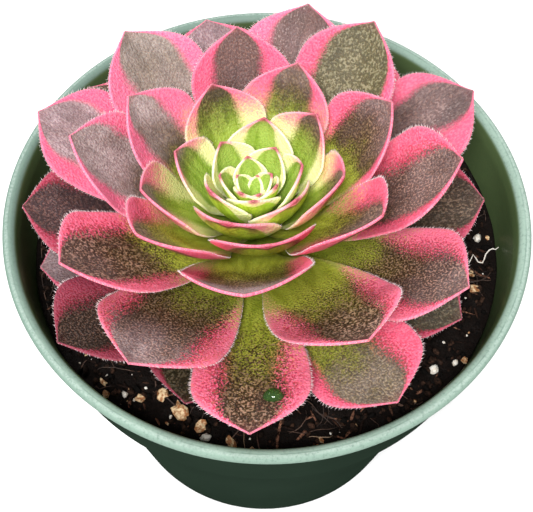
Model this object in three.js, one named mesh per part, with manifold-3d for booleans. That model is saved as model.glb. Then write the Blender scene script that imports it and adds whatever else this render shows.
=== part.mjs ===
// Potted aeonium: a spoon-leaved rosette on a short stem, rooted in soil in a round plastic nursery pot.
// Millimetres, +Z up. The origin is the centre of the pot's base, and the front of the plant is -Y.
import * as THREE from 'three';
import { mergeVertices } from 'three/addons/utils/BufferGeometryUtils.js';
import Module from 'manifold-3d';

const wasm = await Module();
wasm.setup();

// Pot: a standard 108 mm round nursery pot
const rimRadius = 54;
const potHeight = 89;
const rimThickness = 2.4;
const rimTopWidth = 1.75;
const collarHeight = 24;
const collarTopRadius = 51.6;
const collarFootRadius = 49.8;
const bodyTopRadius = 46.8;
const baseRadius = 37.5;
const baseCorner = 2.5;
const wall = 0.8;
const baseRaise = 1.4;
const footRingWidth = 7;
const drainHoleRadius = 4;
const drainHoleRing = 24;
const drainHoles = 4;
const roundSteps = 56;

// Soil, filled to 13.5 mm below the rim
const soilDrop = 13.5;
const gap = 0.3;
const soilRoughness = 0.7;
const stemHoleDepth = 16;
const grainCount = 36;

// Rosette: where its axis crosses the rim plane, and how far the axis leans
const axisX = -2.6;
const axisY = -1.5;
const leanLeft = THREE.MathUtils.degToRad(2.3);
const leanBack = THREE.MathUtils.degToRad(3.5);
const firstAzimuth = 71;
const goldenAngle = 137.508;
const lastLeaf = 54;
const firstSingleLeaf = 10;
const apexHeight = 4;
const rootSpacing = 0.29;
const stemRadius = 5.2;
const stemShoulder = 12;
const petioleWidth = 4;
const rootThickness = 0.9;
const heartRootSink = 0.9;
const marginThickness = 0.6;

// Growth from the youngest leaf to the oldest: leaf number, reach of the tip from the axis,
// height of the tip over the rim, blade width, how much the leaf bends up along its length in degrees,
// how much the blade cups across beyond the bowl it lies in, in 1/mm, and how late its base widens
const growth = [
  [0, 2.6, 9, 3.5, 20, 0.01, 1.1],
  [5, 4.9, 12.2, 8, 24, 0.01, 1.1],
  [10, 8.8, 14.9, 12.5, 26, 0.01, 1.4],
  [15, 14.2, 17.7, 16.5, 28, 0.012, 1.7],
  [20, 21, 21.1, 19.5, 26, 0.016, 2],
  [25, 28.8, 24.6, 21.5, 20, 0.024, 2],
  [30, 36.7, 24.4, 22.5, 14, 0.018, 1.5],
  [35, 43.5, 17.3, 23.6, 6, 0.004, 1.3],
  [40, 47.6, 8.5, 23, 0, 0.002, 1.5],
  [45, 48.2, 3.1, 21.5, -5, 0.002, 2],
  [50, 46.8, -1.7, 21, -8, 0.002, 2.2],
  [54, 45, -5.9, 19.5, -12, 0.002, 2.2],
];

// Leaves that stand off the spiral, in degrees, and tips that reach further or less far, in millimetres
const turns = {
  13: -5, 14: 5, 15: 6, 16: 8, 17: 3, 20: 7, 21: 3, 22: -7, 23: 7.5, 24: 6, 25: -3, 26: 1, 27: 3, 29: 7, 30: 4.5,
  31: 4.5, 32: 3.5, 33: 5, 34: -1, 35: -0.5, 36: 2, 37: 1, 38: -2, 39: -4, 40: -1, 41: -8, 43: -7.5, 45: -2.6, 46: -4.2,
  48: -8.5, 51: -4, 53: -12, 54: -13,
};
const stretches = {
  12: -0.7, 13: -0.8, 15: 0.7, 16: 0.7, 18: 0.7, 19: -0.8, 20: 1.5, 23: 0.5, 24: 0.8, 25: 1, 26: -2.2, 27: -1.6,
  29: 2.8, 30: -1.5, 31: 0.6, 33: 1, 35: 1.2, 36: 1, 37: 3.6, 39: -0.4, 40: -1, 41: -2, 43: 3.2, 45: -2, 48: 3,
  51: -3, 53: 1,
};

// The same, for the share of the width, the bend up and the roll about the middle line, in degrees
const widths = { 30: 1.07, 31: 1.05, 38: 1.06, 43: 0.96, 46: 1.05, 48: 1.04 };
const bends = { 24: 8, 26: 5, 28: 8, 29: 8, 32: 8, 35: 10, 36: -8, 37: -8, 38: 4, 40: 5, 43: -4, 45: -2, 46: 10 };
const rolls = { 24: 5, 28: -5, 29: 5, 30: 3, 31: 5, 32: 3, 38: -3, 48: 5 };

const { degToRad, lerp, clamp } = THREE.MathUtils;

// A seeded random draw between 0 and 1
function makeDraw(seed) {
  let state = seed;
  return () => {
    state = (state * 1664525 + 1013904223) % 4294967296;
    return state / 4294967296;
  };
}

// The growth table between its rows
function grown(column, number) {
  const last = growth.length - 1;
  let row = 1;
  while (row < last && growth[row][0] < number) row += 1;
  const before = growth[row - 1];
  const after = growth[row];
  return lerp(before[column], after[column], (number - before[0]) / (after[0] - before[0]));
}

// A solid for joining and cutting, from a closed three.js geometry
function toSolid(geometry) {
  const plain = geometry.clone();
  plain.deleteAttribute('normal');
  plain.deleteAttribute('uv');
  const merged = mergeVertices(plain, 1e-4);
  return new wasm.Manifold(new wasm.Mesh({
    numProp: 3,
    vertProperties: new Float32Array(merged.attributes.position.array),
    triVerts: new Uint32Array(merged.index.array),
  }));
}

function toGeometry(solid) {
  const mesh = solid.getMesh();
  const geometry = new THREE.BufferGeometry();
  geometry.setAttribute('position', new THREE.BufferAttribute(new Float32Array(mesh.vertProperties), 3));
  geometry.setIndex(new THREE.BufferAttribute(new Uint32Array(mesh.triVerts), 1));
  geometry.computeVertexNormals();
  return geometry;
}

// The largest closed surface of a solid: drops the pockets that joining thin blades can seal inside
function wholeBody(solid) {
  return solid.decompose().sort((one, other) => other.volume() - one.volume())[0];
}

// A turned body from a profile of [radius, height] points, upright
function turned(profile, steps = roundSteps) {
  const points = profile.map(([radius, height]) => new THREE.Vector2(radius, height));
  return new THREE.LatheGeometry(points, steps).rotateX(Math.PI / 2);
}

// Radii of the pot's outside at a height, and of the round that the soil fills
function outerRadius(height) {
  const stepHeight = potHeight - collarHeight;
  if (height >= stepHeight) {
    const share = (height - stepHeight) / (potHeight - rimThickness - stepHeight);
    return lerp(collarFootRadius, collarTopRadius, clamp(share, 0, 1));
  }
  return lerp(baseRadius, bodyTopRadius, height / stepHeight);
}

function potSolid() {
  const stepHeight = potHeight - collarHeight;
  const underRim = potHeight - rimThickness;
  const floorTop = baseRaise + wall;
  const profile = [
    [0, baseRaise],
    [baseRadius - footRingWidth - baseRaise, baseRaise],
    [baseRadius - footRingWidth, 0],
    [baseRadius - baseCorner, 0],
    [baseRadius - 0.7, 0.7],
    [outerRadius(baseCorner), baseCorner],
    [bodyTopRadius, stepHeight - 1.6],
    [bodyTopRadius + 0.5, stepHeight - 0.9],
    [collarFootRadius - 0.5, stepHeight - 0.3],
    [collarFootRadius, stepHeight + 0.3],
    [collarTopRadius, underRim - 0.8],
    [collarTopRadius + 0.8, underRim],
    [rimRadius - 0.5, underRim],
    [rimRadius, underRim + 0.5],
    [rimRadius, potHeight - 0.5],
    [rimRadius - 0.4, potHeight],
    [rimRadius - rimTopWidth, potHeight],
    [rimRadius - rimTopWidth - 0.9, potHeight - 1],
    [collarTopRadius - wall, potHeight - 3.4],
    [collarFootRadius - wall, stepHeight + 0.9],
    [bodyTopRadius - wall + 0.2, stepHeight - 0.6],
    [bodyTopRadius - wall, stepHeight - 1.6],
    [outerRadius(floorTop + 2) - wall, floorTop + 2],
    [outerRadius(floorTop) - wall - 2, floorTop],
    [0, floorTop],
  ];
  let solid = toSolid(turned(profile));
  for (let hole = 0; hole < drainHoles; hole += 1) {
    const angle = (hole + 0.5) * 2 * Math.PI / drainHoles;
    const cutter = new THREE.CylinderGeometry(drainHoleRadius, drainHoleRadius, 4 * floorTop, 16);
    cutter.rotateX(Math.PI / 2);
    cutter.translate(drainHoleRing * Math.cos(angle), drainHoleRing * Math.sin(angle), floorTop);
    solid = solid.subtract(toSolid(cutter));
  }
  return solid;
}

// Heaps and hollows of the soil's top
function soilTop(x, y) {
  const broad = Math.sin(0.21 * x + 1.3) * Math.cos(0.17 * y - 0.4);
  const fine = Math.sin(0.61 * x - 0.5) * Math.sin(0.53 * y + 2.1);
  const fade = clamp(Math.hypot(x, y) / 25, 0, 1);
  return potHeight - soilDrop + fade * soilRoughness * (0.6 * broad + 0.4 * fine);
}

function soilSolid(stem) {
  const floorTop = baseRaise + wall + gap;
  const rings = [8, 17, 26, 35, 43];
  const topHeight = potHeight - soilDrop;
  const innerRadius = (height) => outerRadius(height) - wall - gap;
  const stepHeight = potHeight - collarHeight;
  const profile = [[0, floorTop], [innerRadius(floorTop) - 2, floorTop], [innerRadius(floorTop + 2), floorTop + 2]];
  profile.push([bodyTopRadius - wall - gap, stepHeight - 1.6]);
  profile.push([bodyTopRadius - wall - gap + 0.2, stepHeight - 0.6]);
  profile.push([collarFootRadius - wall - gap, stepHeight + 1]);
  profile.push([innerRadius(topHeight) - 0.1, topHeight]);
  for (const ring of rings.toReversed()) profile.push([ring, topHeight]);
  profile.push([0, topHeight]);
  const geometry = turned(profile, roundSteps);
  const position = geometry.attributes.position;
  for (let index = 0; index < position.count; index += 1) {
    const x = position.getX(index);
    const y = position.getY(index);
    if (position.getZ(index) > topHeight - 0.01) position.setZ(index, soilTop(x, y));
  }
  let solid = toSolid(geometry);
  const draw = makeDraw(11);
  for (let grain = 0; grain < grainCount; grain += 1) {
    const angle = 2 * Math.PI * draw();
    const radius = 20 + 26 * Math.sqrt(draw());
    const size = 0.8 + 1.1 * draw() * draw();
    const lump = new THREE.IcosahedronGeometry(size, 0);
    lump.scale(1, 0.7 + 0.4 * draw(), 0.75);
    lump.rotateZ(6 * draw());
    const x = radius * Math.cos(angle);
    const y = radius * Math.sin(angle);
    lump.translate(x, y, soilTop(x, y) - 0.1 * size - 0.2);
    solid = solid.add(toSolid(lump));
  }
  return wholeBody(solid.subtract(stem));
}

// Where leaf roots sit on the stem: radius and height in the rosette's own frame
const rootRadius = (number) => stemRadius * (1 - Math.exp(-number / stemShoulder));
const rootHeight = (number) => apexHeight - rootSpacing * number;

// The middle line of a leaf in the plane through the axis
function middleLine(number) {
  const stretch = stretches[number] ?? 0;
  const sink = number < firstSingleLeaf ? Math.min(heartRootSink, rootRadius(number)) : 0;
  const start = new THREE.Vector2(rootRadius(number) - sink, rootHeight(number));
  const end = new THREE.Vector2(grown(1, number) + stretch, grown(2, number));
  const chord = end.clone().sub(start);
  const rise = Math.atan2(chord.y, chord.x);
  const bend = degToRad(grown(4, number) + (bends[number] ?? 0)) / 2;
  const handle = 0.36 * chord.length();
  const leave = new THREE.Vector2(Math.cos(rise - bend), Math.sin(rise - bend)).multiplyScalar(handle);
  const arrive = new THREE.Vector2(Math.cos(rise + bend), Math.sin(rise + bend)).multiplyScalar(handle);
  return new THREE.CubicBezierCurve(start, start.clone().add(leave), end.clone().sub(arrive), end);
}

// Half the blade's width along the leaf, from the petiole through the shoulders to the pointed tip
function halfWidth(number, along) {
  const widest = lerp(0.64, 0.78, clamp((number - 10) / 28, 0, 1));
  const full = grown(3, number) / 2 * (widths[number] ?? 1);
  const root = Math.min(petioleWidth / 2, 0.7 * full);
  if (along <= widest) {
    return lerp(root, full, Math.sin(Math.PI / 2 * along / widest) ** grown(6, number));
  }
  const towardsTip = (along - widest) / (1 - widest);
  return Math.max(full * (1 - towardsTip ** 2.3), 0.35);
}

// Thickness on the middle line
function middleThickness(number, along) {
  const full = lerp(1.1, 1.9, clamp((number - 8) / 20, 0, 1));
  const swell = Math.sin(Math.PI * clamp(along, 0, 1) ** 0.8);
  const ends = lerp(rootThickness, marginThickness, along);
  return lerp(ends, full, swell);
}

// A point of a leaf: along from 0 at the root to 1 at the tip, across from -1 to 1,
// face 1 for the upper and -1 for the lower side
function leafPoint(number, line, along, across, face) {
  const azimuth = degToRad(firstAzimuth - goldenAngle * number + (turns[number] ?? 0));
  const point = line.getPoint(along);
  const tangent = line.getTangent(along);
  const slope = Math.atan2(tangent.y, tangent.x);
  const bowl = Math.max(Math.sin(slope), 0) / Math.max(point.x, 2);
  const curl = bowl + grown(5, number) * clamp(along * 2, 0.1, 1);
  const side = across * halfWidth(number, along);
  const roll = degToRad(rolls[number] ?? 0);
  const acrossBowl = Math.sin(curl * side) / curl;
  const upBowl = (1 - Math.cos(curl * side)) / curl;
  const outwards = acrossBowl * Math.cos(roll) - upBowl * Math.sin(roll);
  const lift = acrossBowl * Math.sin(roll) + upBowl * Math.cos(roll);
  const thick = lerp(middleThickness(number, along), marginThickness, across * across);
  const off = lift + face * thick / 2;
  const radius = point.x - Math.sin(slope) * off;
  const height = point.y + Math.cos(slope) * off;
  return new THREE.Vector3(
    radius * Math.cos(azimuth) - outwards * Math.sin(azimuth),
    radius * Math.sin(azimuth) + outwards * Math.cos(azimuth),
    height,
  );
}

// One leaf as a closed body: two faces of rows and columns with a narrow margin wall between them
function leafGeometry(number, rows, columns) {
  const line = middleLine(number);
  const positions = [];
  const indices = [];
  const stepsAlong = [];
  for (let row = 0; row <= rows; row += 1) stepsAlong.push(1 - (1 - row / rows) ** 1.35);
  for (const face of [1, -1]) {
    for (const along of stepsAlong) {
      for (let column = 0; column <= columns; column += 1) {
        const across = 2 * column / columns - 1;
        positions.push(...leafPoint(number, line, along, across, face).toArray());
      }
    }
  }
  const perRow = columns + 1;
  const underside = (rows + 1) * perRow;
  const quad = (a, b, c, d) => indices.push(a, b, c, a, c, d);
  for (let row = 0; row < rows; row += 1) {
    for (let column = 0; column < columns; column += 1) {
      const corner = row * perRow + column;
      const next = corner + perRow;
      quad(corner, next, next + 1, corner + 1);
      indices.push(underside + corner, underside + next + 1, underside + next);
      indices.push(underside + corner, underside + corner + 1, underside + next + 1);
    }
    const left = row * perRow;
    const right = left + columns;
    quad(left + perRow, left, underside + left, underside + left + perRow);
    quad(right, right + perRow, underside + right + perRow, underside + right);
  }
  for (let column = 0; column < columns; column += 1) {
    const tip = rows * perRow + column;
    quad(column, column + 1, underside + column + 1, underside + column);
    quad(tip + 1, tip, underside + tip, underside + tip + 1);
  }
  const geometry = new THREE.BufferGeometry();
  geometry.setAttribute('position', new THREE.Float32BufferAttribute(positions, 3));
  geometry.setIndex(indices);
  geometry.computeVertexNormals();
  return geometry;
}

// The heart: a small core with the ten youngest leaves rooted in it
function heartSolid() {
  const coreRadius = rootRadius(firstSingleLeaf - 1) - 0.2;
  const coreFoot = rootHeight(firstSingleLeaf) - 1;
  let solid = toSolid(turned([[0, coreFoot], [coreRadius, coreFoot], [coreRadius * 0.8, apexHeight], [0, apexHeight + 2]], 12));
  for (let number = 0; number < firstSingleLeaf; number += 1) {
    solid = solid.add(toSolid(leafGeometry(number, 6, 4)));
  }
  return wholeBody(solid);
}

// The stem, from its buried foot to the seat of the heart
function stemProfile(extra, foot) {
  const profile = [[0, foot]];
  profile.push([stemRadius - gap + extra, foot]);
  for (const number of [54, 40, 32, 25, 20, 16, 13]) {
    profile.push([rootRadius(number) - gap - 0.25 + extra, rootHeight(number) - 0.4]);
  }
  profile.push([0, rootHeight(firstSingleLeaf) - 1 - gap + extra]);
  return profile;
}

const finish = (color, roughness) => new THREE.MeshStandardMaterial({ color, roughness, metalness: 0 });
const piece = (name, geometry, material) => {
  const mesh = new THREE.Mesh(geometry, material);
  mesh.name = name;
  return mesh;
};

const plant = new THREE.Group();
const rosette = new THREE.Group();
rosette.position.set(axisX, axisY, potHeight);
rosette.rotation.set(-leanBack, -leanLeft, 0);
rosette.updateMatrix();

const stemFoot = -soilDrop - stemHoleDepth;
const stemGeometry = turned(stemProfile(0, stemFoot), 20);
const stemHole = turned(stemProfile(gap, stemFoot - gap), 20).applyMatrix4(rosette.matrix);

plant.add(piece('pot', toGeometry(potSolid()), finish(0x2f4a3c, 0.5)));
plant.add(piece('soil', toGeometry(soilSolid(toSolid(stemHole))), finish(0x2a1d18, 0.95)));
rosette.add(piece('stem', stemGeometry, finish(0x7b8f4a, 0.6)));
rosette.add(piece('heart', toGeometry(heartSolid()), finish(0xb6cf5a, 0.5)));
const youngLeaf = new THREE.Color(0x9bbf4a);
const oldLeaf = new THREE.Color(0x7a4a4c);
for (let number = firstSingleLeaf; number <= lastLeaf; number += 1) {
  const color = youngLeaf.clone().lerp(oldLeaf, clamp((number - 12) / 18, 0, 1));
  rosette.add(piece(`leaf_${number}`, leafGeometry(number, 8, 4), finish(color, 0.55)));
}
plant.add(rosette);

export default plant;
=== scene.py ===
# Potted aeonium: a rosette of spoon-shaped leaves with pink margins, in a round green nursery pot.
# Sizes are in millimetres unless a name says otherwise, and mm turns them into metres.
import math
import random

import bmesh
import bpy
import numpy as np
from mathutils import Matrix, Vector, noise


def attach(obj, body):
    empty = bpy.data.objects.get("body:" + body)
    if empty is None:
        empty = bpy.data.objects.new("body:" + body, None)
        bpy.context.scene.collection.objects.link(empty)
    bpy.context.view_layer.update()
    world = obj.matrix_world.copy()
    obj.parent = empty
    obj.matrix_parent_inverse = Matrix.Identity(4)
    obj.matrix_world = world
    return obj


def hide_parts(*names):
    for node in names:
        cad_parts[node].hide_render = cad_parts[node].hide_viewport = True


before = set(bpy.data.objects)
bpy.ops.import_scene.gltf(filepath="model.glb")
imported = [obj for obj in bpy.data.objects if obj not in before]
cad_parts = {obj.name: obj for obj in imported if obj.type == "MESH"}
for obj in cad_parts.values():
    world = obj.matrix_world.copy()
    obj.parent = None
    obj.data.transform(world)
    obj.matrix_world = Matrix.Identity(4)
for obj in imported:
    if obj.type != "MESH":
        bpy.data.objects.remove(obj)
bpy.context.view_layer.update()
mm = 0.001

# Pot
# A round tapered nursery pot, injection moulded in thin dark green polypropylene. A collar steps out
# under the rolled rim, whose top and edge are scuffed to a pale grey green. The wall is painted lighter
# inside than outside, and the rim carries painted light, painted shade and a painted highlight. One
# turned body with four drain holes in its raised bottom.
pot_height = 89
rim_radius = 54
rim_top_width = 1.75
rim_depth = 2.4
collar_height = 24
collar_top_radius = 51.6
collar_foot_radius = 49.8
body_top_radius = 46.8
base_radius = 37.5
base_raise = 1.4
foot_ring_width = 7
pot_wall = 0.8
pot_turn_steps = 192
drain_holes = 4
drain_hole_radius = 4
drain_hole_ring = 24
drill_length = 8
foot_bevel = 2.5
step_height = pot_height - collar_height
body_end = step_height - 1.6
under_rim = pot_height - rim_depth
rim_inner_radius = rim_radius - rim_top_width
rim_crown = rim_radius - 0.85
rim_shade_ring = rim_radius - 1.25


def outer_radius(height):
    if height >= step_height:
        share = (height - step_height) / (under_rim - step_height)
        return collar_foot_radius + (collar_top_radius - collar_foot_radius) * min(share, 1)
    return base_radius + (body_top_radius - base_radius) * height / step_height


def rounded(corners, radius, steps=4):
    """A profile with its corners, all but the two ends, rounded off."""
    points = [corners[0]]
    for before, corner, after in zip(corners, corners[1:], corners[2:]):
        corner, before, after = Vector(corner), Vector(before), Vector(after)
        back, onwards = before - corner, after - corner
        start = corner + back.normalized() * min(radius, 0.45 * back.length)
        end = corner + onwards.normalized() * min(radius, 0.45 * onwards.length)
        for step in range(steps + 1):
            share = step / steps
            bend = start * (1 - share) ** 2 + corner * 2 * share * (1 - share) + end * share ** 2
            points.append((bend.x, bend.y))
    points.append(corners[-1])
    return points


def in_scene(name, data):
    """A new object of the scene."""
    made = bpy.data.objects.new(name, data)
    bpy.context.scene.collection.objects.link(made)
    return made


def mesh_object(name, points, faces):
    """An object from points in millimetres and faces, with smooth shading."""
    mesh = bpy.data.meshes.new(name)
    mesh.from_pydata([Vector(point) * mm for point in points], [], faces)
    mesh.shade_smooth()
    mesh.update()
    return in_scene(name, mesh)


def between_rings(rings, steps, first=0):
    """Faces that join each ring of points to the next one."""
    faces = []
    for low in range(first, first + (rings - 1) * steps, steps):
        for step in range(steps):
            after = (step + 1) % steps
            faces.append((low + step, low + after, low + steps + after, low + steps + step))
    return faces


def turned(name, profile, steps):
    """A closed body turned round the Z axis from a profile that starts and ends on the axis."""
    points = [(0, 0, profile[0][1])]
    for radius, height in profile[1:-1]:
        for step in range(steps):
            angle = 2 * math.pi * step / steps
            points.append((radius * math.cos(angle), radius * math.sin(angle), height))
    points.append((0, 0, profile[-1][1]))
    faces = between_rings(len(profile) - 2, steps, first=1)
    end = len(points) - 1
    for step in range(steps):
        after = (step + 1) % steps
        faces.append((0, 1 + after, 1 + step))
        faces.append((end, end - steps + step, end - steps + after))
    return mesh_object(name, points, faces)


def node(kind, inputs, tree=None, **settings):
    """A shader node. An input is a value, or the socket that feeds it, and the node goes in its tree."""
    sockets = [value for value in inputs.values() if isinstance(value, bpy.types.NodeSocket)]
    tree = tree or sockets[0].id_data
    made = tree.nodes.new("ShaderNode" + kind)
    for setting, value in settings.items():
        setattr(made, setting, value)
    for key, value in inputs.items():
        if isinstance(value, bpy.types.NodeSocket):
            tree.links.new(value, made.inputs[key])
        else:
            made.inputs[key].default_value = value
    return made


def given(material, kind, output, **settings):
    """What is known at each point of a surface, such as its place."""
    return node(kind, {}, material.node_tree, **settings).outputs[output]


def surface(name, settings):
    """A new material, and its shader with some sockets set."""
    material = bpy.data.materials.new(name)
    material.use_nodes = True
    shader = material.node_tree.nodes["Principled BSDF"]
    for key, value in settings.items():
        shader.inputs[key].default_value = value
    return material, shader


def feed(shader, key, socket):
    shader.id_data.links.new(socket, shader.inputs[key])


def calc(operation, one, other=0.0):
    return node("Math", {0: one, 1: other}, operation=operation).outputs[0]


def times(one, other):
    return calc("MULTIPLY", one, other)


def plus(one, other):
    return calc("ADD", one, other)


def rest_of(share):
    """What a share leaves of 1."""
    return calc("SUBTRACT", 1.0, share)


def scaled(value, factor, start):
    """The value times a factor, counted from a start."""
    return node("Math", {0: value, 1: factor, 2: start}, operation="MULTIPLY_ADD").outputs[0]


def dot(one, other):
    """How far one vector goes along another."""
    return node("VectorMath", {0: one, 1: other}, operation="DOT_PRODUCT").outputs["Value"]


def rise(value, low, high):
    """0 below low, 1 above high, and smooth between them."""
    inputs = {"Value": value, "From Min": low, "From Max": high}
    return node("MapRange", inputs, interpolation_type="SMOOTHSTEP").outputs["Result"]


def grain(place, size, detail=2.0, roughness=0.5):
    """Noise with lumps of about that size in millimetres."""
    inputs = {"Vector": place, "Scale": 1 / (size * mm), "Detail": detail, "Roughness": roughness}
    return node("TexNoise", inputs).outputs["Fac"]


def between(share, one, other):
    """A colour between two colours."""
    return node("Mix", {0: share, 6: one, 7: other}, data_type="RGBA").outputs[2]


def bumps(shader, height, distance, strength=1.0):
    """Fine relief, a distance in millimetres high."""
    bump = node("Bump", {"Height": height, "Distance": distance * mm, "Strength": strength})
    feed(shader, "Normal", bump.outputs["Normal"])


def pot_plastic():
    green_dark = (0.0145, 0.0245, 0.017, 1)
    green_light = (0.021, 0.036, 0.0245, 1)
    inside_wall_painted_lighter = (0.068, 0.103, 0.04, 1)
    rim_shaded_side = (0.15, 0.225, 0.185, 1)
    rim_lit_side = (0.26, 0.365, 0.3, 1)
    pale_wear_and_highlight = (0.48, 0.57, 0.52, 1)
    scratches_and_shade = (0.11, 0.17, 0.14, 1)
    lit_side = (0.7, -0.7, 0)
    material, shader = surface("green_polypropylene", {})
    place = given(material, "TexCoord", "Object")
    parts = node("SeparateXYZ", {0: place})
    flat = node("CombineXYZ", {0: parts.outputs[0], 1: parts.outputs[1]}).outputs[0]
    radius = node("VectorMath", {0: flat}, operation="LENGTH").outputs["Value"]
    cloud = grain(place, 22, 3)
    fleck = grain(place, 0.5, 3, 0.7)

    def near(ring, close, far):
        """1 on a ring of the rim, and down to 0 between two distances from it."""
        off = calc("ABSOLUTE", calc("SUBTRACT", radius, ring * mm))
        return rest_of(rise(off, close * mm, far * mm))

    inside = calc("LESS_THAN", dot(given(material, "TexCoord", "Normal"), flat), 0.0)
    # Painted light and shade: the one plastic is painted lighter on the inner wall than on the outer wall.
    wall = between(inside, between(cloud, green_dark, green_light), inside_wall_painted_lighter)
    # Pale flecks along the rim's crown: partly wear and partly a painted highlight.
    crown_wear_and_highlight = times(rise(fleck, 0.2, 0.7), times(near(rim_crown, 0.1, 0.6), 0.5))
    # Painted light and shade: the rim is painted lighter towards the front right and darker towards the back
    # left.
    painted_light_side = rise(dot(flat, lit_side), -rim_radius * mm, 0.8 * rim_radius * mm)
    rim = between(crown_wear_and_highlight, between(painted_light_side, rim_shaded_side, rim_lit_side), pale_wear_and_highlight)
    mottle = times(rise(grain(place, 0.6, 3, 0.7), 0.48, 0.72), 0.5)
    rim = between(mottle, rim, scratches_and_shade)
    # Painted shade: a dark broken ring near the inner edge of the rim top, in the same dark colour as the
    # scratches.
    inner_edge_shade = calc("SUBTRACT", near(rim_shade_ring, 0.04, 0.26), 0.45)
    inner_edge_shade = times(inner_edge_shade, rise(grain(place, 5), 0.35, 0.6))
    rim = between(calc("MAXIMUM", inner_edge_shade, 0.0), rim, scratches_and_shade)
    ragged = plus(parts.outputs[2], times(fleck, 0.5 * mm))
    high = rise(ragged, (under_rim - 0.2) * mm, (under_rim + 0.5) * mm)
    out = rise(radius, (rim_inner_radius - 0.95) * mm, (rim_inner_radius - 0.45) * mm)
    on_rim = times(high, out)
    feed(shader, "Base Color", between(on_rim, wall, rim))
    feed(shader, "Roughness", scaled(on_rim, 0.2, 0.38))
    feed(shader, "Specular IOR Level", times(inside, 0.35))
    bumps(shader, grain(place, 1.2, 3), 0.05)
    return material


pot_corners = [
    (0, base_raise),
    (base_radius - foot_ring_width - base_raise, base_raise),
    (base_radius - foot_ring_width, 0),
    (base_radius - foot_bevel, 0),
    (outer_radius(foot_bevel), foot_bevel),
    (body_top_radius, body_end),
    (body_top_radius + 0.5, step_height - 0.9),
    (collar_foot_radius - 0.5, step_height - 0.3),
    (collar_foot_radius, step_height + 0.3),
    (collar_top_radius, under_rim - 0.8),
    (collar_top_radius + 0.8, under_rim),
    (rim_radius - 0.2, under_rim),
    (rim_radius, under_rim + 0.8),
    (rim_radius, pot_height - 0.6),
    (rim_radius - 0.5, pot_height),
    (rim_inner_radius, pot_height),
    (rim_inner_radius - 0.9, pot_height - 1),
    (collar_top_radius - pot_wall, pot_height - 3.4),
    (collar_foot_radius - pot_wall, step_height + 0.9),
    (body_top_radius - pot_wall + 0.2, step_height - 0.6),
    (body_top_radius - pot_wall, body_end),
    (outer_radius(4.2) - pot_wall, base_raise + pot_wall + 2),
    (outer_radius(2.2) - pot_wall - 2, base_raise + pot_wall),
    (0, base_raise + pot_wall),
]
pot = turned("nursery_pot", rounded(pot_corners, 0.7), pot_turn_steps)
for hole in range(drain_holes):
    angle = math.radians(360 / drain_holes * (hole + 0.5))
    bpy.ops.mesh.primitive_cylinder_add(vertices=40, radius=drain_hole_radius * mm, depth=drill_length * mm)
    drill = bpy.context.object
    place = (drain_hole_ring * math.cos(angle), drain_hole_ring * math.sin(angle), base_raise)
    drill.location = Vector(place) * mm
    cut = pot.modifiers.new("drain_hole", "BOOLEAN")
    cut.object = drill
    cut.operation = "DIFFERENCE"
    bpy.context.view_layer.objects.active = pot
    bpy.ops.object.modifier_apply(modifier=cut.name)
    bpy.data.objects.remove(drill)
pot.data.shade_smooth()
pot.data.set_sharp_from_angle(angle=math.radians(50))
pot.data.materials.append(pot_plastic())
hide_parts("pot")
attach(pot, "root")

# Soil bed
# Damp peat mix that fills the pot to 13.5 mm below the rim, pressed down by watering. It is one
# crumbly body with heaps and hollows, nearly black where it is wet.
soil_drop = 13.5
soil_clearance = 0.3
soil_top_height = pot_height - soil_drop
heap_height = 0.7
clod_height = 0.55
crumb_height = 0.22
soil_turn_steps = 300
soil_rings = 90


def soil_top(x, y):
    """Height of the soil, with the broad heaps of the bed."""
    broad = math.sin(0.21 * x + 1.3) * math.cos(0.17 * y - 0.4)
    fine = math.sin(0.61 * x - 0.5) * math.sin(0.53 * y + 2.1)
    fade = min(math.hypot(x, y) / 25, 1)
    return soil_top_height + fade * heap_height * (0.6 * broad + 0.4 * fine)


def gradual(value, low, high, first=0.0, last=1.0):
    """From first to last, evenly, while the value goes from low to high."""
    inputs = {"Value": value, "From Min": low, "From Max": high, "To Min": first, "To Max": last}
    return node("MapRange", inputs).outputs["Result"]


def peat(name, dark, brown, wet):
    """Peat from dark to brown, with wet as the roughness of its wettest clods."""
    material, shader = surface(name, {"Specular IOR Level": 0.12})
    place = given(material, "TexCoord", "Object")
    clod = grain(place, 2.2, 4, 0.6)
    crumb = grain(place, 0.5, 3, 0.7)
    piece = given(material, "NewGeometry", "Random Per Island")
    mixed = times(rise(crumb, 0.3, 0.7), rise(piece, 0.2, 1.0))
    feed(shader, "Base Color", between(mixed, dark, brown))
    feed(shader, "Roughness", gradual(clod, 0.35, 0.6, wet, 0.95))
    bumps(shader, crumb, 0.5)
    return material


peat_dark = (0.003, 0.002, 0.0015, 1)
peat_brown = (0.013, 0.006, 0.004, 1)
to_soil = pot_wall + soil_clearance
bed_radius = outer_radius(soil_top_height) - to_soil
bed_profile = [
    (0, base_raise + to_soil),
    (outer_radius(foot_bevel) - to_soil - 2, base_raise + to_soil),
    (outer_radius(4.5) - to_soil, base_raise + to_soil + 2),
    (body_top_radius - to_soil, body_end),
    (body_top_radius - to_soil + 0.2, step_height - 0.6),
    (collar_foot_radius - to_soil, step_height + 1),
]
bed_profile += [(bed_radius * (1 - ring / soil_rings), soil_top_height) for ring in range(soil_rings)]
bed_profile.append((0, soil_top_height))
bed = turned("soil_bed", bed_profile, soil_turn_steps)
for vertex in bed.data.vertices:
    x, y, z = vertex.co / mm
    if z > soil_top_height - 0.01:
        clods = noise.fractal(Vector((x, y, 0)) * 0.45, 0.8, 2.1, 4)
        crumbs = noise.noise(Vector((x, y, 7)) * 1.9)
        edge = min((bed_radius - math.hypot(x, y)) / 1.5, 1)
        vertex.co.z = (soil_top(x, y) + edge * (clod_height * clods + crumb_height * crumbs)) * mm
bed.data.materials.append(peat("damp_peat", peat_dark, peat_brown, 0.4))
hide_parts("soil")
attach(bed, "root")

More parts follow.
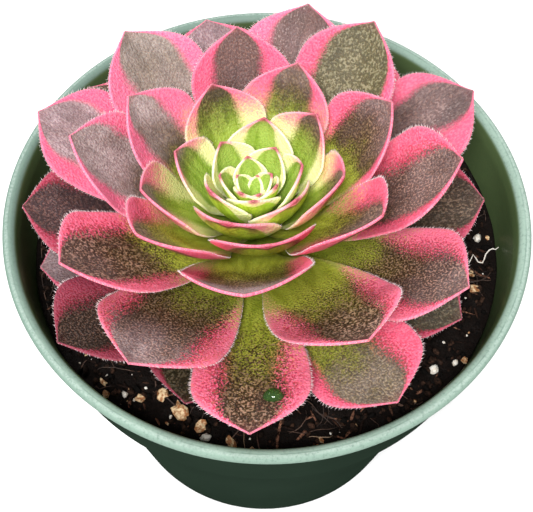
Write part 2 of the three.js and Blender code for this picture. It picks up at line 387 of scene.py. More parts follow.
# Peat crumbs and bark
# Loose crumbs of peat and flakes of composted bark that lie on the bed, brown where they have dried.
# Each is a small lump with a broken surface, and they are scattered with a fixed draw.
crumb_count = 1900
bark_count = 760
bare_radius = 14
crumb_reach = 48.6
bark_reach = 47


def lump_shape(steps):
    """Points and faces of a unit ball of triangles."""
    ball = bmesh.new()
    bmesh.ops.create_icosphere(ball, subdivisions=steps, radius=1)
    points = np.array([vertex.co for vertex in ball.verts])
    faces = np.array([[vertex.index for vertex in face.verts] for face in ball.faces])
    ball.free()
    return points, faces


def turn_matrix(draw, tilt=math.pi):
    """A random turn, all round and tilted up to an angle."""
    around = Matrix.Rotation(draw.uniform(0, 2 * math.pi), 3, "Z")
    over = Matrix.Rotation(draw.uniform(-tilt, tilt), 3, "X")
    return np.array(around @ over @ Matrix.Rotation(draw.uniform(-tilt, tilt), 3, "Y"))


def soil_object(name, points, faces, material):
    """An object of loose matter on the soil."""
    made = mesh_object(name, points, faces)
    made.data.materials.append(material)
    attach(made, "root")
    return made


def scattered(name, spots, shape, material, broken=0.55):
    """One object of many broken lumps. A spot is its x, y, size, length, thickness, tilt and sinking."""
    ball, faces = shape
    draw = random.Random(name)
    all_points = []
    all_faces = []
    for x, y, size, length, thickness, tilt, sink in spots:
        off = Vector((draw.uniform(0, 90), draw.uniform(0, 90), 0))
        lumpy = [1 + broken * noise.fractal(Vector(point) * 1.3 + off, 0.7, 2.3, 2) for point in ball]
        body = ball * np.array(lumpy)[:, None] * (0.5 * size * length, 0.5 * size, 0.5 * size * thickness)
        body = body @ turn_matrix(draw, tilt).T
        body += (x, y, soil_top(x, y) + 0.5 * size * thickness * (1 - sink))
        all_faces.append(faces + len(all_points) * len(ball))
        all_points.append(body)
    return soil_object(name, np.concatenate(all_points), np.concatenate(all_faces).tolist(), material)


def anywhere(draw, inside, outside):
    """A spot on the bed between two radii, even over the area."""
    radius = math.sqrt(draw.uniform(inside ** 2, outside ** 2))
    angle = draw.uniform(0, 2 * math.pi)
    return radius * math.cos(angle), radius * math.sin(angle)


small_lump = lump_shape(1)
draw = random.Random(3)
crumb_spots = [(*anywhere(draw, bare_radius, crumb_reach), draw.uniform(0.4, 1.7), 1.3, 0.8, 3, 0.3)
               for crumb in range(crumb_count)]
bark_spots = [
    (*anywhere(draw, bare_radius, bark_reach), draw.uniform(0.25, 0.8), draw.uniform(2, 9), 0.5, 0.4, -0.5)
    for flake in range(bark_count)]
peat_brown_dry = (0.075, 0.036, 0.022, 1)
bark_brown = (0.4, 0.18, 0.11, 1)
scattered("peat_crumbs", crumb_spots, small_lump, peat("peat_crumb", peat_dark, peat_brown_dry, 0.5))
scattered("bark_flakes", bark_spots, small_lump, peat("composted_bark", peat_brown, bark_brown, 0.45))

# Grit and perlite
# Sharp sand-coloured grit and white puffed perlite, mixed into the soil to drain it. The larger grains
# lie where the plant shows them, and small ones are scattered.
small_grit_count = 70
small_perlite_count = 60
grain_from = 30
grain_reach = 48.5

# Place from the pot's middle, width, and length in widths
grit_grains = [
    (-31.9, -34.2, 1.1, 1.5), (-31.2, -36.7, 1.4, 1.2), (-24.2, -37.4, 1.5, 1.5), (-19.9, -36.7, 2.3, 1.2),
    (-16.2, -39.7, 2.9, 1.35), (-11.9, -42.9, 2.0, 1.3), (-6.1, -46.5, 1.8, 1.9), (11.3, -45.1, 1.0, 1.3),
    (48, 1.9, 0.9, 1.2), (43.7, -7.3, 1.3, 1.3), (43.9, -11.4, 1.7, 1.3), (40.6, -27.5, 1.2, 1.2),
    (35.7, -34.8, 1.1, 1.3),
]
perlite_grains = [
    (45.7, 1.6, 1.6, 1.2), (34.2, -29.8, 1.8, 1.2), (38.6, -28.2, 1.1, 1.2), (-27.4, -36.8, 1.2, 1.3),
    (-11, -45.2, 1.7, 1.3), (-18.1, -40.8, 0.7, 1.2), (-21, -43.6, 0.6, 1.2), (-0.5, -48, 0.6, 1.2),
    (13.2, -43.6, 0.6, 1.0), (14.9, -43.4, 0.5, 1.0),
]


def stone(name, one, other, patch):
    """A rough skin of one colour with stains of another, in patches of a size."""
    material, shader = surface(name, {"Roughness": 0.55})
    place = given(material, "TexCoord", "Object")
    stain = rise(grain(place, patch, 3, 0.6), 0.42, 0.62)
    feed(shader, "Base Color", between(stain, one, other))
    bumps(shader, grain(place, 0.35, 3), 0.25)
    return material


def lying(grains, sink):
    """The spots of grains that lie flat, sunk by a share of their thickness."""
    return [(x, y, size, length, 0.75, 0.35, sink) for x, y, size, length in grains]


draw = random.Random(8)
grit_grains += [(*anywhere(draw, grain_from, grain_reach), draw.uniform(0.3, 0.8), draw.uniform(1, 1.6))
                for grain in range(small_grit_count)]
perlite_grains += [(*anywhere(draw, grain_from, grain_reach), draw.uniform(0.2, 0.55), draw.uniform(1, 1.5))
                   for grain in range(small_perlite_count)]
rust = (0.34, 0.13, 0.04, 1)
sand = (0.78, 0.58, 0.34, 1)
chalk = (0.86, 0.82, 0.74, 1)
dull_chalk = (0.66, 0.57, 0.46, 1)
broken_stone = lump_shape(2)
grit = scattered("grit", lying(grit_grains, 0.15), broken_stone, stone("sand_grit", rust, sand, 0.9), 0.7)
scattered("perlite", lying(perlite_grains, 0.1), broken_stone, stone("perlite", chalk, dull_chalk, 0.8), 0.6)
grit.data.shade_flat()

# Fibres
# Coir and fine dead roots in the soil, most of them dark, and one white curled root by the wall.
# Each is a thin bent tube.
fibre_count = 230
pale_fibre_count = 26
fibre_from = 26
fibre_reach = 46
wall_reach = 48.4
fibre_steps = 10


def tube(points, radius, sides=5):
    """Points and faces of a closed tube along a line of points, thinner at its ends."""
    line = [Vector(point) for point in points]
    around = []
    for index, point in enumerate(line):
        ahead = (line[min(index + 1, len(line) - 1)] - line[max(index - 1, 0)]).normalized()
        side = ahead.cross(Vector((0, 0, 1))).normalized()
        over = side.cross(ahead)
        thin = radius * (1 - 0.6 * abs(2 * index / (len(line) - 1) - 1) ** 3)
        for step in range(sides):
            angle = 2 * math.pi * step / sides
            around.append(point + (side * math.cos(angle) + over * math.sin(angle)) * thin)
    faces = [face[::-1] for face in between_rings(len(line), sides)]
    faces.append(tuple(range(sides)))
    faces.append(tuple(range(len(around) - sides, len(around)))[::-1])
    return around, faces


def fibres(name, lines, material):
    """One object of many tubes. A line is its points and its radius."""
    all_points = []
    all_faces = []
    for points, radius in lines:
        around, faces = tube(points, radius)
        all_faces += [tuple(index + len(all_points) for index in face) for face in faces]
        all_points += around
    return soil_object(name, all_points, all_faces, material)


def root_line(draw, length, lift):
    """A rootlet that wanders over the bed, with its ends in the soil."""
    x, y = anywhere(draw, fibre_from, fibre_reach)
    heading = draw.uniform(0, 2 * math.pi)
    points = []
    for step in range(fibre_steps + 1):
        height = soil_top(x, y) + lift * math.sin(math.pi * step / fibre_steps) - 0.15
        points.append((x, y, height))
        heading += draw.gauss(0, 0.22)
        x += math.cos(heading) * length / fibre_steps
        y += math.sin(heading) * length / fibre_steps
        reach = math.hypot(x, y)
        if reach > wall_reach:
            x, y = x * wall_reach / reach, y * wall_reach / reach
    return points


draw = random.Random(21)
dark_lines = [(root_line(draw, draw.uniform(4, 14), draw.uniform(0.3, 1.5)), draw.uniform(0.07, 0.16))
              for fibre in range(fibre_count)]
pale_lines = [(root_line(draw, draw.uniform(3, 9), draw.uniform(0.4, 1.8)), draw.uniform(0.06, 0.12))
              for fibre in range(pale_fibre_count)]
curl_points = [
    (42.6, -6.2, 0.5), (43.5, -4.6, 0.9), (44.2, -3.2, 1.3), (44.7, -4.0, 1.2), (45.2, -4.9, 1.0),
    (46.1, -5.0, 0.9), (46.5, -4.2, 1.1), (46.9, -3.1, 1.4), (47.7, -2.2, 1.6), (48.4, -1.9, 1.7),
    (49, -2.2, 1.9), (49.6, -1.8, 2.3),
]
curl_line = [(x, y, soil_top_height + height) for x, y, height in curl_points]
coir_dark = (0.035, 0.018, 0.012, 1)
coir_brown = (0.1, 0.05, 0.032, 1)
dry_brown = (0.28, 0.17, 0.1, 1)
dry_straw = (0.55, 0.4, 0.27, 1)
live_white = (0.85, 0.8, 0.72, 1)
live_cream = (0.72, 0.64, 0.55, 1)
fibres("dark_fibres", dark_lines, stone("coir", coir_dark, coir_brown, 3))
fibres("pale_fibres", pale_lines, stone("dry_root", dry_brown, dry_straw, 3))
fibres("white_root", [(curl_line, 0.16)], stone("white_root_skin", live_white, live_cream, 2))

# Stem
# A short green-brown stem, a little woody, ringed with the scars of fallen leaves. It is rooted in the
# soil and leans slightly back, and the leaves grow from it in one spiral.
axis_x = -2.6
axis_y = -1.5
lean_left = math.radians(2.3)
lean_back = math.radians(3.5)
stem_radius = 5.2
stem_shoulder = 12
stem_bury = 16
apex_height = 4
root_spacing = 0.29
first_single_leaf = 10
last_leaf = 54
rosette = Matrix.Translation((axis_x, axis_y, pot_height))
rosette = rosette @ Matrix.Rotation(-lean_back, 4, "X") @ Matrix.Rotation(-lean_left, 4, "Y")


def root_radius(number):
    return stem_radius * (1 - math.exp(-number / stem_shoulder))


def root_height(number):
    return apex_height - root_spacing * number


def in_rosette(points):
    """Points of the rosette's own frame, moved to where it stands in the pot."""
    turn = np.array(rosette)
    return np.asarray(points) @ turn[:3, :3].T + turn[:3, 3]


stem_corners = [(0, -soil_drop - stem_bury), (stem_radius - 0.3, -soil_drop - stem_bury)]
for number in range(last_leaf, first_single_leaf + 1, -2):
    stem_corners.append((root_radius(number) - 0.5, root_height(number) - 0.4))
stem_corners.append((0, root_height(first_single_leaf) - 1.2))
stem = turned("stem", stem_corners, 48)
for vertex in stem.data.vertices:
    spot = vertex.co / mm
    ring = 1 + 0.02 * math.sin(9 * spot.z) + 0.03 * noise.noise(spot * 0.9)
    spot.x *= ring
    spot.y *= ring
    vertex.co = (rosette @ spot) * mm
bark_green = (0.16, 0.15, 0.05, 1)
bark_tan = (0.26, 0.17, 0.09, 1)
stem.data.materials.append(stone("stem_bark", bark_green, bark_tan, 2.5))
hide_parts("stem")
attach(stem, "root")

# Leaves
# Fleshy spoon-shaped leaves on narrow petioles, each grown from the stem 137.5 degrees on from the
# last, and older, lower and wider ones further out. The skin is waxy, with a pale or pink margin that
# has lost its green, speckled maroon towards the tip, and a fringe of short white hairs.
first_azimuth = 71
golden_angle = 137.508
petiole_width = 4
root_thickness = 0.9
margin_thickness = 0.5
point_length = 1.5
tip_fold = 0.16
point_hook = 0.3
edge_wave = 0.35
hair_length = 0.75
hair_thickness = 0.08
heart_sink = 0.9
leaf_rows = 56
leaf_columns = 26
edge_steps = 3

# Leaf number, reach from the axis, height of the tip over the rim, width, bend up in degrees,
# cup across in 1/mm, and how late the base widens
growth = [
    (0, 2.6, 9, 3.5, 20, 0.01, 1.1),
    (5, 4.9, 12.2, 8, 24, 0.01, 1.1),
    (10, 8.8, 14.9, 12.5, 26, 0.01, 1.4),
    (15, 14.2, 17.7, 16.5, 28, 0.012, 1.7),
    (20, 21, 21.1, 19.5, 26, 0.016, 2),
    (25, 28.8, 24.6, 21.5, 20, 0.024, 2),
    (30, 36.7, 24.4, 22.5, 14, 0.018, 1.5),
    (35, 43.5, 17.3, 23.6, 6, 0.004, 1.3),
    (40, 47.6, 8.5, 23, 0, 0.002, 1.5),
    (45, 48.2, 3.1, 21.5, -5, 0.002, 2),
    (50, 46.8, -1.7, 21, -8, 0.002, 2.2),
    (54, 45, -5.9, 19.5, -12, 0.002, 2.2),
]

# Leaves that stand off the rule: degrees off the spiral, millimetres longer or shorter, power of the
# curve to the tip, width by a factor, more bend in degrees, and roll about the middle line in degrees
turns = {
    13: -5, 14: 5, 15: 6, 16: 8, 17: 3, 20: 7, 21: 3, 22: -7, 23: 7.5, 24: 6, 25: -3, 26: 1, 27: 3, 29: 7,
    30: 4.5, 31: 4.5, 32: 3.5, 33: 5, 34: -1, 35: -0.5, 36: 2, 37: 1, 38: -2, 39: -4, 40: -1, 41: -8,
    43: -7.5, 45: -2.6, 46: -4.2, 48: -8.5, 51: -4, 53: -12, 54: -13,
}
stretches = {
    12: -0.7, 13: -0.8, 15: 0.7, 16: 0.7, 18: 0.7, 19: -0.8, 20: 1.5, 23: 0.5, 24: 0.8, 25: 1, 26: -2.2,
    27: -1.6, 29: 2.8, 30: -1.5, 31: 0.6, 33: 1, 35: 1.2, 36: 1, 37: 3.6, 39: -0.4, 40: -1, 41: -2, 43: 3.2,
    45: -2, 48: 3, 51: -3, 53: 1,
}
roundness = {30: 6, 43: 2.6, 45: 2.8, 48: 2.9}
widths = {30: 1.07, 31: 1.05, 38: 1.06, 43: 0.96, 46: 1.05, 48: 1.04}
bends = {24: 8, 26: 5, 28: 8, 29: 8, 32: 8, 35: 10, 36: -8, 37: -8, 38: 4, 40: 5, 43: -4, 45: -2, 46: 10}
rolls = {24: 5, 28: -5, 29: 5, 30: 3, 31: 5, 32: 3, 38: -3, 48: 5}

# Colour by leaf, in percent: where along the blade its dark flush starts and is full, where the margin
# turns pink and is full pink, share of the half width that the margin takes, how much more of it lies
# on the side that the spiral turns to, olive against maroon, painted sheen over the waxy skin, paleness
# of the pink, how coarsely the colours break into each other, and painted shade of the whole leaf
looks = [
    (0, 100, 110, 86, 104, 20, 0, 0, 0, 60, 10, 0),
    (9, 93, 105, 86, 103, 34, 0, 0, 0, 60, 10, 0),
    (10, 90, 103, 84, 102, 44, -10, 0, 0, 60, 10, 0),
    (13, 88, 103, 80, 100, 50, -10, 0, 20, 60, 10, 0),
    (15, 66, 98, 70, 95, 44, 10, 40, 60, 70, 20, 0),
    (16, 55, 85, 62, 95, 48, 20, 20, 30, 50, 20, 0),
    (18, 60, 86, 60, 90, 44, -20, 70, 10, 50, 20, 0),
    (19, 58, 80, 55, 90, 60, 0, 30, 30, 30, 20, 0),
    (20, 60, 92, 58, 92, 62, 0, 30, 70, 40, 40, 0),
    (21, 58, 80, 46, 80, 50, 0, 40, 40, 40, 20, 0),
    (22, 60, 80, 45, 75, 45, 0, 30, 20, 20, 20, 0),
    (23, 36, 55, 38, 66, 52, 0, 50, 90, 80, 20, 0),
    (24, 50, 64, 40, 62, 28, 30, 25, 35, 30, 45, 0),
    (25, 55, 88, 38, 65, 48, 0, 40, 50, 20, 60, 0),
    (26, 30, 46, 30, 52, 50, -10, 20, 20, 40, 20, 0),
    (27, 42, 70, 36, 62, 52, 0, 30, 20, 10, 60, 0),
    (28, 24, 42, 28, 48, 36, 10, 40, 80, 70, 40, 0),
    (29, 26, 40, 28, 50, 26, 30, 100, 10, 30, 35, 0),
    (30, 46, 72, 40, 60, 28, 0, 20, 90, 20, 80, 0),
    (31, 22, 36, 25, 46, 42, 25, 70, 60, 90, 20, 0),
    (32, 26, 44, 28, 48, 38, 35, 20, 20, 10, 60, 0),
    (33, 38, 60, 34, 54, 35, -10, 20, 10, 20, 80, 10),
    (34, 22, 36, 25, 45, 40, 20, 20, 25, 60, 10, 0),
    (35, 42, 74, 40, 58, 36, -5, 30, 10, 30, 100, 0),
    (36, 20, 34, 22, 42, 40, 0, 20, 100, 40, 10, 0),
    (37, 20, 36, 24, 42, 54, -30, 20, 30, 40, 20, 30),
    (38, 26, 60, 34, 54, 31, 10, 20, 45, 20, 100, 20),
    (39, 20, 34, 24, 42, 40, 0, 10, 70, 40, 20, 15),
    (40, 32, 60, 36, 56, 40, 10, 20, 20, 30, 90, 0),
    (41, 22, 40, 30, 50, 42, 0, 0, 20, 0, 60, 80),
    (43, 40, 82, 40, 58, 42, 0, 20, 0, 30, 90, 10),
    (45, 30, 55, 30, 50, 34, 0, 50, 10, 10, 60, 60),
    (46, 20, 40, 30, 50, 44, -15, 20, 0, 0, 70, 100),
    (48, 34, 90, 36, 56, 40, 40, 60, 35, 20, 60, 0),
    (51, 25, 55, 40, 70, 28, 0, 70, 0, 0, 60, 100),
    (53, 25, 70, 40, 60, 28, 0, 80, 20, 10, 60, 60),
    (54, 20, 45, 40, 60, 28, 0, 10, 60, 30, 50, 60),
]


def grown(table, column, number):
    """A table's column for a leaf, between its rows."""
    numbers = [row[0] for row in table]
    return float(np.interp(number, numbers, [row[column] for row in table]))


def look(column, number):
    return grown(looks, column, number) / 100


def middle_line(number):
    """The leaf's middle line as four control points, in the plane through the axis."""
    sink = min(heart_sink, root_radius(number)) if number < first_single_leaf else 0
    start = Vector((root_radius(number) - sink, root_height(number)))
    end = Vector((grown(growth, 1, number) + stretches.get(number, 0), grown(growth, 2, number)))
    chord = end - start
    climb = math.atan2(chord.y, chord.x)
    bend = math.radians(grown(growth, 4, number) + bends.get(number, 0)) / 2
    handle = 0.36 * chord.length
    leave = Vector((math.cos(climb - bend), math.sin(climb - bend))) * handle
    arrive = Vector((math.cos(climb + bend), math.sin(climb + bend))) * handle
    return start, start + leave, end - arrive, end


def leaf_length(number):
    start, leave, arrive, end = middle_line(number)
    return (end - start).length


def half_width(number, along):
    """Half the blade's width, from the petiole through the shoulders to a fine point."""
    widest = np.interp(number, [10, 38], [0.64, 0.78])
    full = grown(growth, 3, number) / 2 * widths.get(number, 1)
    root = min(petiole_width / 2, 0.7 * full)
    opening = np.sin(np.pi / 2 * np.clip(along / widest, 0, 1)) ** grown(growth, 6, number)
    rising = root + (full - root) * opening
    towards_tip = np.clip((along - widest) / (1 - widest), 0, 1)
    swept = 1 - 0.45 * np.exp(-(1 - along) * leaf_length(number) / point_length)
    falling = full * (1 - towards_tip ** roundness.get(number, 2.3)) * swept
    return np.where(along <= widest, rising, np.maximum(falling, 0.04))


def leaf_points(number, along, across, off):
    """Points of a leaf: along 0 to 1, across -1 to 1, and off the middle surface in millimetres."""
    start, leave, arrive, end = (np.array(point) for point in middle_line(number))
    s = along[..., None]
    spot = start * (1 - s) ** 3 + 3 * leave * s * (1 - s) ** 2 + 3 * arrive * s ** 2 * (1 - s) + end * s ** 3
    ahead = (leave - start) * (1 - s) ** 2 + 2 * (arrive - leave) * s * (1 - s) + (end - arrive) * s ** 2
    slope = np.arctan2(ahead[..., 1], ahead[..., 0])
    bowl = np.maximum(np.sin(slope), 0) / np.maximum(spot[..., 0], 2)
    curl = bowl + grown(growth, 5, number) * np.clip(along * 2, 0.1, 1)
    side = across * half_width(number, along)
    fold = tip_fold * np.abs(side) * np.clip((along - 0.7) / 0.3, 0, 1)
    hook = point_hook * np.exp(-(1 - along) * leaf_length(number)) * min(number / 20, 1)
    wave = edge_wave * np.abs(across) ** 3 * np.sin(9 * along + 1.7 * number + 2 * np.sign(across))
    wave = wave * min(number / 30, 1) * np.sin(np.pi * along)
    off = off + fold + wave + hook
    angle = curl * side
    across_bowl = np.sin(angle) / curl - np.sin(angle) * off
    up_bowl = (1 - np.cos(angle)) / curl + np.cos(angle) * off
    roll = math.radians(rolls.get(number, 0))
    outwards = across_bowl * math.cos(roll) - up_bowl * math.sin(roll)
    lift = across_bowl * math.sin(roll) + up_bowl * math.cos(roll)
    radius = spot[..., 0] - np.sin(slope) * lift
    height = spot[..., 1] + np.cos(slope) * lift
    azimuth = math.radians(first_azimuth - golden_angle * number + turns.get(number, 0))
    x = radius * math.cos(azimuth) - outwards * math.sin(azimuth)
    y = radius * math.sin(azimuth) + outwards * math.cos(azimuth)
    return in_rosette(np.stack([x, y, height], axis=-1))


def leaf_thickness(number, along, across):
    full = np.interp(number, [8, 28], [1.1, 1.9])
    swell = np.sin(np.pi * along ** 0.8)
    ends = root_thickness + (margin_thickness - root_thickness) * along
    middle = ends + (full - ends) * swell
    return middle + (margin_thickness - middle) * np.clip(across, -1, 1) ** 2


def leaf_section():
    """Once round a leaf's section: places across, and how far towards the upper or lower face."""
    flat = np.linspace(-1, 1, leaf_columns + 1)
    flat = flat * (1.2 - 0.2 * flat ** 2)
    turn = np.pi * np.arange(1, edge_steps + 1) / (edge_steps + 1)
    across = np.concatenate([flat, np.full(edge_steps, 1.0), flat[::-1], np.full(edge_steps, -1.0)])
    beyond = np.concatenate([flat * 0, np.sin(turn), flat * 0, -np.sin(turn)])
    face = np.concatenate([flat * 0 + 1, np.cos(turn), flat * 0 - 1, -np.cos(turn)])
    return across, beyond, face


def leaf_body(number):
    """Points, faces and the paint guides of one leaf."""
    across, beyond, face = leaf_section()
    along = 1 - (1 - np.linspace(0, 1, leaf_rows + 1)) ** 1.5
    along, across = np.meshgrid(along, across, indexing="ij")
    width = half_width(number, along)
    off = face * leaf_thickness(number, along, across) / 2
    points = leaf_points(number, along, across + beyond * margin_thickness / 2 / width, off)
    rows, around = along.shape
    faces = between_rings(rows, around)
    faces.append(tuple(range(around))[::-1])
    faces.append(tuple(range((rows - 1) * around, rows * around)))
    length = leaf_length(number)
    slant = 1 / np.sqrt(1 + np.gradient(width[:, 0], along[:, 0] * length) ** 2)
    edge = (1 - np.abs(across)) * width * slant[:, None]
    lean = 1 + look(6, number) * np.sign(across)
    narrow_until = 0.15 if number < 35 else 0.25
    narrowest = 0.6 if number < 18 else 0.06
    opening = np.clip((along - narrow_until) / 0.4, narrowest, 1)
    closing = np.clip((1 - along) / 0.22, 0.08, 1) ** 0.5
    band = (1 - np.abs(across)) / (look(5, number) * lean * opening * closing)
    guides = {
        "along": along, "edge": edge, "band": band, "under": (1 - np.broadcast_to(face, along.shape)) / 2,
        "streak": across * width, "reach": along * length,
    }
    return points.reshape(-1, 3), faces, {name: guide.ravel() for name, guide in guides.items()}


def unit(steps):
    return steps / np.linalg.norm(steps, axis=-1, keepdims=True)


def leaf_hairs(number):
    """Short cones along both margins, leaning towards the tip."""
    draw = np.random.default_rng(number)
    length = leaf_length(number)
    spacing = 0.3 + 0.1 * (number < 26)
    count = int(0.75 * length * 1.15 / spacing)
    along = np.concatenate([1 - 0.72 * (np.linspace(0, 1, count) ** 1.1)] * 2)
    along = np.clip(along + draw.normal(0, 0.003, along.shape), 0.2, 0.999)
    across = np.repeat([-1.0, 1.0], count)
    foot = leaf_points(number, along, across, 0 * along)
    outwards = unit(foot - leaf_points(number, along, across * 0.97, 0 * along))
    forwards = unit(foot - leaf_points(number, along - 0.004, across, 0 * along))
    normal = unit(leaf_points(number, along, across, 0 * along + 0.1) - foot)
    size = hair_length * min(0.3 + number / 40, 1) * draw.uniform(0.55, 1.15, len(along))
    size = size * np.clip((along - 0.2) / 0.4, 0.25, 1) * np.clip((1 - along) * length / 2, 0.35, 1)
    lean = draw.uniform(0.15, 0.7, len(along))[:, None]
    aim = unit(outwards + lean * forwards + draw.uniform(-0.25, 0.35, len(along))[:, None] * normal)
    foot = foot + outwards * margin_thickness * 0.3
    thick = hair_thickness * min(0.5 + number / 40, 1)
    one = foot + forwards * thick
    two = foot - forwards * thick * 0.5 + normal * thick
    three = foot - forwards * thick * 0.5 - normal * thick
    top = foot + aim * size[:, None]
    points = np.stack([one, two, three, top], axis=1).reshape(-1, 3)
    faces = []
    for low in range(0, len(points), 4):
        one, two, three, top = range(low, low + 4)
        faces += [(one, three, two), (one, two, top), (two, three, top), (three, one, top)]
    return points, faces


# How wide the margin is round the point underneath, and how much a full painted shade takes from the colours
tip_margin = 1.6
painted_shade_depth = 0.7


def halfway(share, one, other):
    """A colour between two, as three numbers."""
    return [first * (1 - share) + second * share for first, second in zip(one, other)]


def leaf_skin(name, number):
    """The painted skin of a leaf, from its guides and its number."""
    dark_from, dark_full, pink_from, pink_full = (look(column, number) for column in range(1, 5))
    olive, sheen, pale, loose, painted_shade = (look(column, number) for column in range(7, 12))
    young = float(np.interp(number, [14, 27], [1, 0]))
    # Painted light: the middle leaves, whose green bases lie in the rosette's crevices, are painted a
    # brighter green.
    crevice_light = float(np.interp(number, [23, 25, 33, 36], [0, 1, 1, 0]))
    drawn_out = float(np.interp(loose, [0.2, 0.8], [0.3, 0.9]))
    material, shader = surface(name, {
        "Specular IOR Level": 0.25, "Subsurface Weight": 0.1, "Subsurface Scale": 0.3,
        "Subsurface Radius": (0.004, 0.002, 0.001),
    })
    along, edge, band, under, streak, reach = (
        given(material, "Attribute", "Fac", attribute_name=guide)
        for guide in ("along", "edge", "band", "under", "streak", "reach"))

    # Painted shade: the lower leaves, under the others, are painted darker as a whole.
    def tone(colour):
        """A colour darkened by the leaf's painted shade."""
        return (*(part * (1 - painted_shade_depth * painted_shade) for part in colour), 1)

    def blend(share, one, other):
        return tone(halfway(share, one, other))

    def mottled(share, scale, detail=1.0, distortion=0.0):
        """Noise with scale lumps to the millimetre, which are drawn out along the leaf by 1 / share."""
        place = node("CombineXYZ", {0: streak, 1: times(reach, share), 2: float(number)})
        inputs = {"Vector": place.outputs[0], "Scale": scale, "Detail": detail, "Distortion": distortion}
        return node("TexNoise", inputs).outputs["Fac"]

    def speckle(scale, low, high):
        """Fine irregular specks, from 0 to 1."""
        return gradual(mottled(0.55 + 0.45 * drawn_out, scale), low, high)

    def broken(share, speck, most=0.8):
        """A share turned into specks of all or nothing, more so where the leaf's colours are loose."""
        much = 0.1 + most * loose
        soft = 0.5 - 0.4 * most * loose
        speck = scaled(speck, much, -0.5 * much)
        mixed = rise(plus(share, speck), 0.5 - soft, 0.5 + soft)
        return times(mixed, gradual(share, 0.0, 0.15))

    fine = speckle(2.5, 0.38, 0.62)
    other_fine = speckle(2.8, 0.37, 0.63)
    finest = speckle(3.2, 0.36, 0.64)
    lines = mottled(0.22, 0.6, 3.0, 0.6)
    cloud = grain(given(material, "TexCoord", "Object"), 6, 2)
    drift = scaled(cloud, 0.3, -0.15)
    spread = plus(along, drift)
    ragged = plus(band, drift)

    def green():
        """Lime green with deeper streaks, and painted light on the middle leaves, whose green is brighter
        and a little yellower where their bases lie in the crevices.
        """
        lime = blend(young, halfway(crevice_light, (0.34, 0.38, 0.04), (0.6, 0.63, 0.08)), (0.36, 0.5, 0.09))
        deep = blend(young, halfway(crevice_light, (0.22, 0.26, 0.02), (0.42, 0.44, 0.04)), (0.22, 0.34, 0.035))
        return between(rise(lines, 0.35, 0.7), lime, deep)

    def crumbs():
        """Maroon or olive specks over near black, browner and mossy where the flush starts."""
        contrast = 0.2 + 0.8 * loose
        depth = 1 - 0.38 * max(loose - 0.3, 0)
        specks = node("ValToRGB", {0: scaled(fine, contrast, 0.5 - 0.5 * contrast)})
        dark, light = specks.color_ramp.elements
        dark.color = blend(olive, (0.02, 0.006, 0.004), (0.026, 0.022, 0.008))
        light.color = tone([depth * part for part in halfway(olive, (0.58, 0.29, 0.23), (0.5, 0.45, 0.29))])
        medium = halfway(olive, (0.104, 0.033, 0.026), (0.115, 0.098, 0.034))
        middle = specks.color_ramp.elements.new(0.58)
        middle.color = tone([part * depth ** power for part, power in zip(medium, (2, 2, 3))])
        mossy = between(fine, tone((0.022, 0.015, 0.002)), tone((0.18, 0.155, 0.022)))
        early = rest_of(gradual(spread, dark_from + 0.05, dark_full + 0.2))
        return between(times(early, 0.8), specks.outputs["Color"], mossy)

    def flush():
        """The dark flush with its smudges, painted shade along its wrinkles, a painted sheen over its waxy
        skin and painted glints.
        """
        darkest = blend(olive, (0.035, 0.014, 0.012), (0.045, 0.04, 0.02))
        # Painted shade: the blade and its sheen are darkened along the lengthwise wrinkles.
        wrinkle_shade = rise(lines, 0.5, 0.72)
        smudge = times(gradual(mottled(0.45, 0.16), 0.42, 0.68), 0.55)
        dark = between(times(wrinkle_shade, 0.45), crumbs(), darkest)
        dark = between(smudge, dark, darkest)
        # Painted sheen: a pale violet grey where the waxy skin would mirror a bright sky, further out on the
        # blade and in patches.
        painted_sheen = between(times(other_fine, 0.4 + 0.6 * loose),
                      blend(olive, (0.36, 0.22, 0.26), (0.38, 0.33, 0.29)),
                      blend(olive, (0.78, 0.58, 0.62), (0.74, 0.68, 0.58)))
        painted_sheen = between(times(wrinkle_shade, 0.25), painted_sheen, darkest)
        painted_sheen = between(times(smudge, 0.5), painted_sheen, darkest)
        sheen_from = dark_from + 0.1 + 0.6 * max(loose - 0.5, 0)
        sheen_mask = rise(spread, sheen_from, min(dark_full + 0.35, 1.1))
        patchy_sheen = gradual(cloud, 0.3, 0.6, 0.6 * sheen, sheen)
        dark = between(times(sheen_mask, patchy_sheen), dark, painted_sheen)
        glint = times(speckle(2.3, 0.58, 0.7), rise(mottled(1.0, 4.0), 0.48, 0.72))
        return between(times(glint, 0.5 * loose), dark,
                       blend(olive, (0.84, 0.58, 0.5), (0.76, 0.7, 0.5)))

    def margin():
        """Cream at the base, then peach, then pink, crimson in specks on its inner side."""
        pink = blend(pale, (0.88, 0.078, 0.175), (0.91, 0.17, 0.32))
        lighter = blend(pale, (0.95, 0.26, 0.36), (0.96, 0.4, 0.54))
        crimson = blend(pale, (0.5, 0.012, 0.05), (0.72, 0.09, 0.2))
        rosy = between(times(other_fine, 0.35 + 0.4 * loose), pink, lighter)
        inner_side = times(gradual(band, 0.1, 1.1), 0.35 + 0.3 * loose)
        rosy = between(broken(inner_side, fine), rosy, crimson)
        cream = blend(young, (0.42, 0.42, 0.09), (0.95, 0.92, 0.46))
        peach = blend(young, (0.8, 0.44, 0.22), (0.97, 0.62, 0.42))
        blush = gradual(spread, pink_from - 0.08, pink_full - 0.02)
        pale_part = between(broken(blush, other_fine), cream, peach)
        blush = gradual(spread, pink_from, pink_full + 0.1 - 0.06 * young)
        return between(broken(blush, other_fine), pale_part, rosy)

